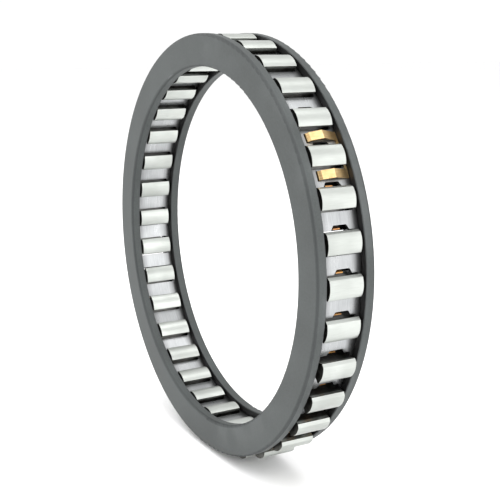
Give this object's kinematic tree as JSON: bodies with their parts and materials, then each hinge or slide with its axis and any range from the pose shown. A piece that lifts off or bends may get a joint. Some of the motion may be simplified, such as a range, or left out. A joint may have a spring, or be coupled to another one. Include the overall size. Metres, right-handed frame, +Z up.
{
  "type": "sprag one-way clutch",
  "caption": "Ring-shaped sprag one-way clutch with two windowed cages, hourglass cams, a ribbon spring, brass drag clips and channel end rings.",
  "frame": {"origin": "on the clutch axis, half way along its width", "axes": "+Y along the clutch axis from the near face to the far face, +Z up, with the ring standing upright"},
  "size_m": [0.1112, 0.0156, 0.112],
  "materials": {
    "ring_steel": "matte phosphated, dark grey",
    "cage_steel": "bright rolled strip",
    "sprag_steel": "fine ground and tumbled",
    "spring_steel": "straw tempered",
    "clip_brass": "satin rolled strip"
  },
  "bodies": {
    "end_rings": {"near_end_ring": "ring_steel", "far_end_ring": "ring_steel"},
    "cage": {"outer_cage": "cage_steel", "ribbon_spring": "spring_steel", "drag_clip_1": "clip_brass", "drag_clip_2": "clip_brass", "drag_clip_3": "clip_brass", "drag_clip_4": "clip_brass"},
    "inner_cage": {"inner_cage": "cage_steel"},
    "sprag_01": {"sprag_01": "sprag_steel"},
    "sprag_02": {"sprag_02": "sprag_steel"},
    "sprag_03": {"sprag_03": "sprag_steel"},
    "sprag_04": {"sprag_04": "sprag_steel"},
    "sprag_05": {"sprag_05": "sprag_steel"},
    "sprag_06": {"sprag_06": "sprag_steel"},
    "sprag_07": {"sprag_07": "sprag_steel"},
    "sprag_08": {"sprag_08": "sprag_steel"},
    "sprag_09": {"sprag_09": "sprag_steel"},
    "sprag_10": {"sprag_10": "sprag_steel"},
    "sprag_11": {"sprag_11": "sprag_steel"},
    "sprag_12": {"sprag_12": "sprag_steel"},
    "sprag_13": {"sprag_13": "sprag_steel"},
    "sprag_14": {"sprag_14": "sprag_steel"},
    "sprag_15": {"sprag_15": "sprag_steel"},
    "sprag_16": {"sprag_16": "sprag_steel"},
    "sprag_17": {"sprag_17": "sprag_steel"},
    "sprag_18": {"sprag_18": "sprag_steel"},
    "sprag_19": {"sprag_19": "sprag_steel"},
    "sprag_20": {"sprag_20": "sprag_steel"},
    "sprag_21": {"sprag_21": "sprag_steel"},
    "sprag_22": {"sprag_22": "sprag_steel"},
    "sprag_23": {"sprag_23": "sprag_steel"},
    "sprag_24": {"sprag_24": "sprag_steel"},
    "sprag_25": {"sprag_25": "sprag_steel"},
    "sprag_26": {"sprag_26": "sprag_steel"},
    "sprag_27": {"sprag_27": "sprag_steel"},
    "sprag_28": {"sprag_28": "sprag_steel"},
    "sprag_29": {"sprag_29": "sprag_steel"},
    "sprag_30": {"sprag_30": "sprag_steel"},
    "sprag_31": {"sprag_31": "sprag_steel"},
    "sprag_32": {"sprag_32": "sprag_steel"},
    "sprag_33": {"sprag_33": "sprag_steel"},
    "sprag_34": {"sprag_34": "sprag_steel"}
  },
  "joints": [
    {"name": "cage_turn", "type": "hinge", "parent": "end_rings", "child": "cage", "pos_m": [0, 0, 0], "axis": [0, 1, 0], "continuous": true},
    {"name": "inner_cage_shift", "type": "hinge", "parent": "cage", "child": "inner_cage", "pos_m": [0, 0, 0], "axis": [0, 1, 0], "range_deg": [0, 0.598], "stiffness_Nm_per_rad": 2},
    {"name": "sprag_01_tilt", "type": "hinge", "parent": "cage", "child": "sprag_01", "pos_m": [0.05285, 0, 0.00018], "axis": [0, -1, 0], "range_deg": [0, 10]},
    {"name": "sprag_02_tilt", "type": "hinge", "parent": "cage", "child": "sprag_02", "pos_m": [0.05198, 0, -0.00953], "axis": [0, -1, 0], "range_deg": [0, 10]},
    {"name": "sprag_03_tilt", "type": "hinge", "parent": "cage", "child": "sprag_03", "pos_m": [0.04935, 0, -0.01892], "axis": [0, -1, 0], "range_deg": [0, 10]},
    {"name": "sprag_04_tilt", "type": "hinge", "parent": "cage", "child": "sprag_04", "pos_m": [0.04503, 0, -0.02766], "axis": [0, -1, 0], "range_deg": [0, 10]},
    {"name": "sprag_05_tilt", "type": "hinge", "parent": "cage", "child": "sprag_05", "pos_m": [0.03918, 0, -0.03547], "axis": [0, -1, 0], "range_deg": [0, 10]},
    {"name": "sprag_06_tilt", "type": "hinge", "parent": "cage", "child": "sprag_06", "pos_m": [0.032, 0, -0.04206], "axis": [0, -1, 0], "range_deg": [0, 10]},
    {"name": "sprag_07_tilt", "type": "hinge", "parent": "cage", "child": "sprag_07", "pos_m": [0.02372, 0, -0.04723], "axis": [0, -1, 0], "range_deg": [0, 10]},
    {"name": "sprag_08_tilt", "type": "hinge", "parent": "cage", "child": "sprag_08", "pos_m": [0.01464, 0, -0.05078], "axis": [0, -1, 0], "range_deg": [0, 10]},
    {"name": "sprag_09_tilt", "type": "hinge", "parent": "cage", "child": "sprag_09", "pos_m": [0.00506, 0, -0.05261], "axis": [0, -1, 0], "range_deg": [0, 10]},
    {"name": "sprag_10_tilt", "type": "hinge", "parent": "cage", "child": "sprag_10", "pos_m": [-0.00469, 0, -0.05264], "axis": [0, -1, 0], "range_deg": [0, 10]},
    {"name": "sprag_11_tilt", "type": "hinge", "parent": "cage", "child": "sprag_11", "pos_m": [-0.01429, 0, -0.05088], "axis": [0, -1, 0], "range_deg": [0, 10]},
    {"name": "sprag_12_tilt", "type": "hinge", "parent": "cage", "child": "sprag_12", "pos_m": [-0.02339, 0, -0.04739], "axis": [0, -1, 0], "range_deg": [0, 10]},
    {"name": "sprag_13_tilt", "type": "hinge", "parent": "cage", "child": "sprag_13", "pos_m": [-0.0317, 0, -0.04229], "axis": [0, -1, 0], "range_deg": [0, 10]},
    {"name": "sprag_14_tilt", "type": "hinge", "parent": "cage", "child": "sprag_14", "pos_m": [-0.03893, 0, -0.03574], "axis": [0, -1, 0], "range_deg": [0, 10]},
    {"name": "sprag_15_tilt", "type": "hinge", "parent": "cage", "child": "sprag_15", "pos_m": [-0.04484, 0, -0.02798], "axis": [0, -1, 0], "range_deg": [0, 10]},
    {"name": "sprag_16_tilt", "type": "hinge", "parent": "cage", "child": "sprag_16", "pos_m": [-0.04921, 0, -0.01926], "axis": [0, -1, 0], "range_deg": [0, 10]},
    {"name": "sprag_17_tilt", "type": "hinge", "parent": "cage", "child": "sprag_17", "pos_m": [-0.05192, 0, -0.00989], "axis": [0, -1, 0], "range_deg": [0, 10]},
    {"name": "sprag_18_tilt", "type": "hinge", "parent": "cage", "child": "sprag_18", "pos_m": [-0.05285, 0, -0.00018], "axis": [0, -1, 0], "range_deg": [0, 10]},
    {"name": "sprag_19_tilt", "type": "hinge", "parent": "cage", "child": "sprag_19", "pos_m": [-0.05198, 0, 0.00953], "axis": [0, -1, 0], "range_deg": [0, 10]},
    {"name": "sprag_20_tilt", "type": "hinge", "parent": "cage", "child": "sprag_20", "pos_m": [-0.04935, 0, 0.01892], "axis": [0, -1, 0], "range_deg": [0, 10]},
    {"name": "sprag_21_tilt", "type": "hinge", "parent": "cage", "child": "sprag_21", "pos_m": [-0.04503, 0, 0.02766], "axis": [0, -1, 0], "range_deg": [0, 10]},
    {"name": "sprag_22_tilt", "type": "hinge", "parent": "cage", "child": "sprag_22", "pos_m": [-0.03918, 0, 0.03547], "axis": [0, -1, 0], "range_deg": [0, 10]},
    {"name": "sprag_23_tilt", "type": "hinge", "parent": "cage", "child": "sprag_23", "pos_m": [-0.032, 0, 0.04206], "axis": [0, -1, 0], "range_deg": [0, 10]},
    {"name": "sprag_24_tilt", "type": "hinge", "parent": "cage", "child": "sprag_24", "pos_m": [-0.02372, 0, 0.04723], "axis": [0, -1, 0], "range_deg": [0, 10]},
    {"name": "sprag_25_tilt", "type": "hinge", "parent": "cage", "child": "sprag_25", "pos_m": [-0.01464, 0, 0.05078], "axis": [0, -1, 0], "range_deg": [0, 10]},
    {"name": "sprag_26_tilt", "type": "hinge", "parent": "cage", "child": "sprag_26", "pos_m": [-0.00506, 0, 0.05261], "axis": [0, -1, 0], "range_deg": [0, 10]},
    {"name": "sprag_27_tilt", "type": "hinge", "parent": "cage", "child": "sprag_27", "pos_m": [0.00469, 0, 0.05264], "axis": [0, -1, 0], "range_deg": [0, 10]},
    {"name": "sprag_28_tilt", "type": "hinge", "parent": "cage", "child": "sprag_28", "pos_m": [0.01429, 0, 0.05088], "axis": [0, -1, 0], "range_deg": [0, 10]},
    {"name": "sprag_29_tilt", "type": "hinge", "parent": "cage", "child": "sprag_29", "pos_m": [0.02339, 0, 0.04739], "axis": [0, -1, 0], "range_deg": [0, 10]},
    {"name": "sprag_30_tilt", "type": "hinge", "parent": "cage", "child": "sprag_30", "pos_m": [0.0317, 0, 0.04229], "axis": [0, -1, 0], "range_deg": [0, 10]},
    {"name": "sprag_31_tilt", "type": "hinge", "parent": "cage", "child": "sprag_31", "pos_m": [0.03893, 0, 0.03574], "axis": [0, -1, 0], "range_deg": [0, 10]},
    {"name": "sprag_32_tilt", "type": "hinge", "parent": "cage", "child": "sprag_32", "pos_m": [0.04484, 0, 0.02798], "axis": [0, -1, 0], "range_deg": [0, 10]},
    {"name": "sprag_33_tilt", "type": "hinge", "parent": "cage", "child": "sprag_33", "pos_m": [0.04921, 0, 0.01926], "axis": [0, -1, 0], "range_deg": [0, 10]},
    {"name": "sprag_34_tilt", "type": "hinge", "parent": "cage", "child": "sprag_34", "pos_m": [0.05192, 0, 0.00989], "axis": [0, -1, 0], "range_deg": [0, 10]}
  ],
  "couplings": [
    {"joint": "sprag_01_tilt", "follows": "inner_cage_shift", "ratio": 16.706},
    {"joint": "sprag_02_tilt", "follows": "inner_cage_shift", "ratio": 16.706},
    {"joint": "sprag_03_tilt", "follows": "inner_cage_shift", "ratio": 16.706},
    {"joint": "sprag_04_tilt", "follows": "inner_cage_shift", "ratio": 16.706},
    {"joint": "sprag_05_tilt", "follows": "inner_cage_shift", "ratio": 16.706},
    {"joint": "sprag_06_tilt", "follows": "inner_cage_shift", "ratio": 16.706},
    {"joint": "sprag_07_tilt", "follows": "inner_cage_shift", "ratio": 16.706},
    {"joint": "sprag_08_tilt", "follows": "inner_cage_shift", "ratio": 16.706},
    {"joint": "sprag_09_tilt", "follows": "inner_cage_shift", "ratio": 16.706},
    {"joint": "sprag_10_tilt", "follows": "inner_cage_shift", "ratio": 16.706},
    {"joint": "sprag_11_tilt", "follows": "inner_cage_shift", "ratio": 16.706},
    {"joint": "sprag_12_tilt", "follows": "inner_cage_shift", "ratio": 16.706},
    {"joint": "sprag_13_tilt", "follows": "inner_cage_shift", "ratio": 16.706},
    {"joint": "sprag_14_tilt", "follows": "inner_cage_shift", "ratio": 16.706},
    {"joint": "sprag_15_tilt", "follows": "inner_cage_shift", "ratio": 16.706},
    {"joint": "sprag_16_tilt", "follows": "inner_cage_shift", "ratio": 16.706},
    {"joint": "sprag_17_tilt", "follows": "inner_cage_shift", "ratio": 16.706},
    {"joint": "sprag_18_tilt", "follows": "inner_cage_shift", "ratio": 16.706},
    {"joint": "sprag_19_tilt", "follows": "inner_cage_shift", "ratio": 16.706},
    {"joint": "sprag_20_tilt", "follows": "inner_cage_shift", "ratio": 16.706},
    {"joint": "sprag_21_tilt", "follows": "inner_cage_shift", "ratio": 16.706},
    {"joint": "sprag_22_tilt", "follows": "inner_cage_shift", "ratio": 16.706},
    {"joint": "sprag_23_tilt", "follows": "inner_cage_shift", "ratio": 16.706},
    {"joint": "sprag_24_tilt", "follows": "inner_cage_shift", "ratio": 16.706},
    {"joint": "sprag_25_tilt", "follows": "inner_cage_shift", "ratio": 16.706},
    {"joint": "sprag_26_tilt", "follows": "inner_cage_shift", "ratio": 16.706},
    {"joint": "sprag_27_tilt", "follows": "inner_cage_shift", "ratio": 16.706},
    {"joint": "sprag_28_tilt", "follows": "inner_cage_shift", "ratio": 16.706},
    {"joint": "sprag_29_tilt", "follows": "inner_cage_shift", "ratio": 16.706},
    {"joint": "sprag_30_tilt", "follows": "inner_cage_shift", "ratio": 16.706},
    {"joint": "sprag_31_tilt", "follows": "inner_cage_shift", "ratio": 16.706},
    {"joint": "sprag_32_tilt", "follows": "inner_cage_shift", "ratio": 16.706},
    {"joint": "sprag_33_tilt", "follows": "inner_cage_shift", "ratio": 16.706},
    {"joint": "sprag_34_tilt", "follows": "inner_cage_shift", "ratio": 16.706}
  ]
}
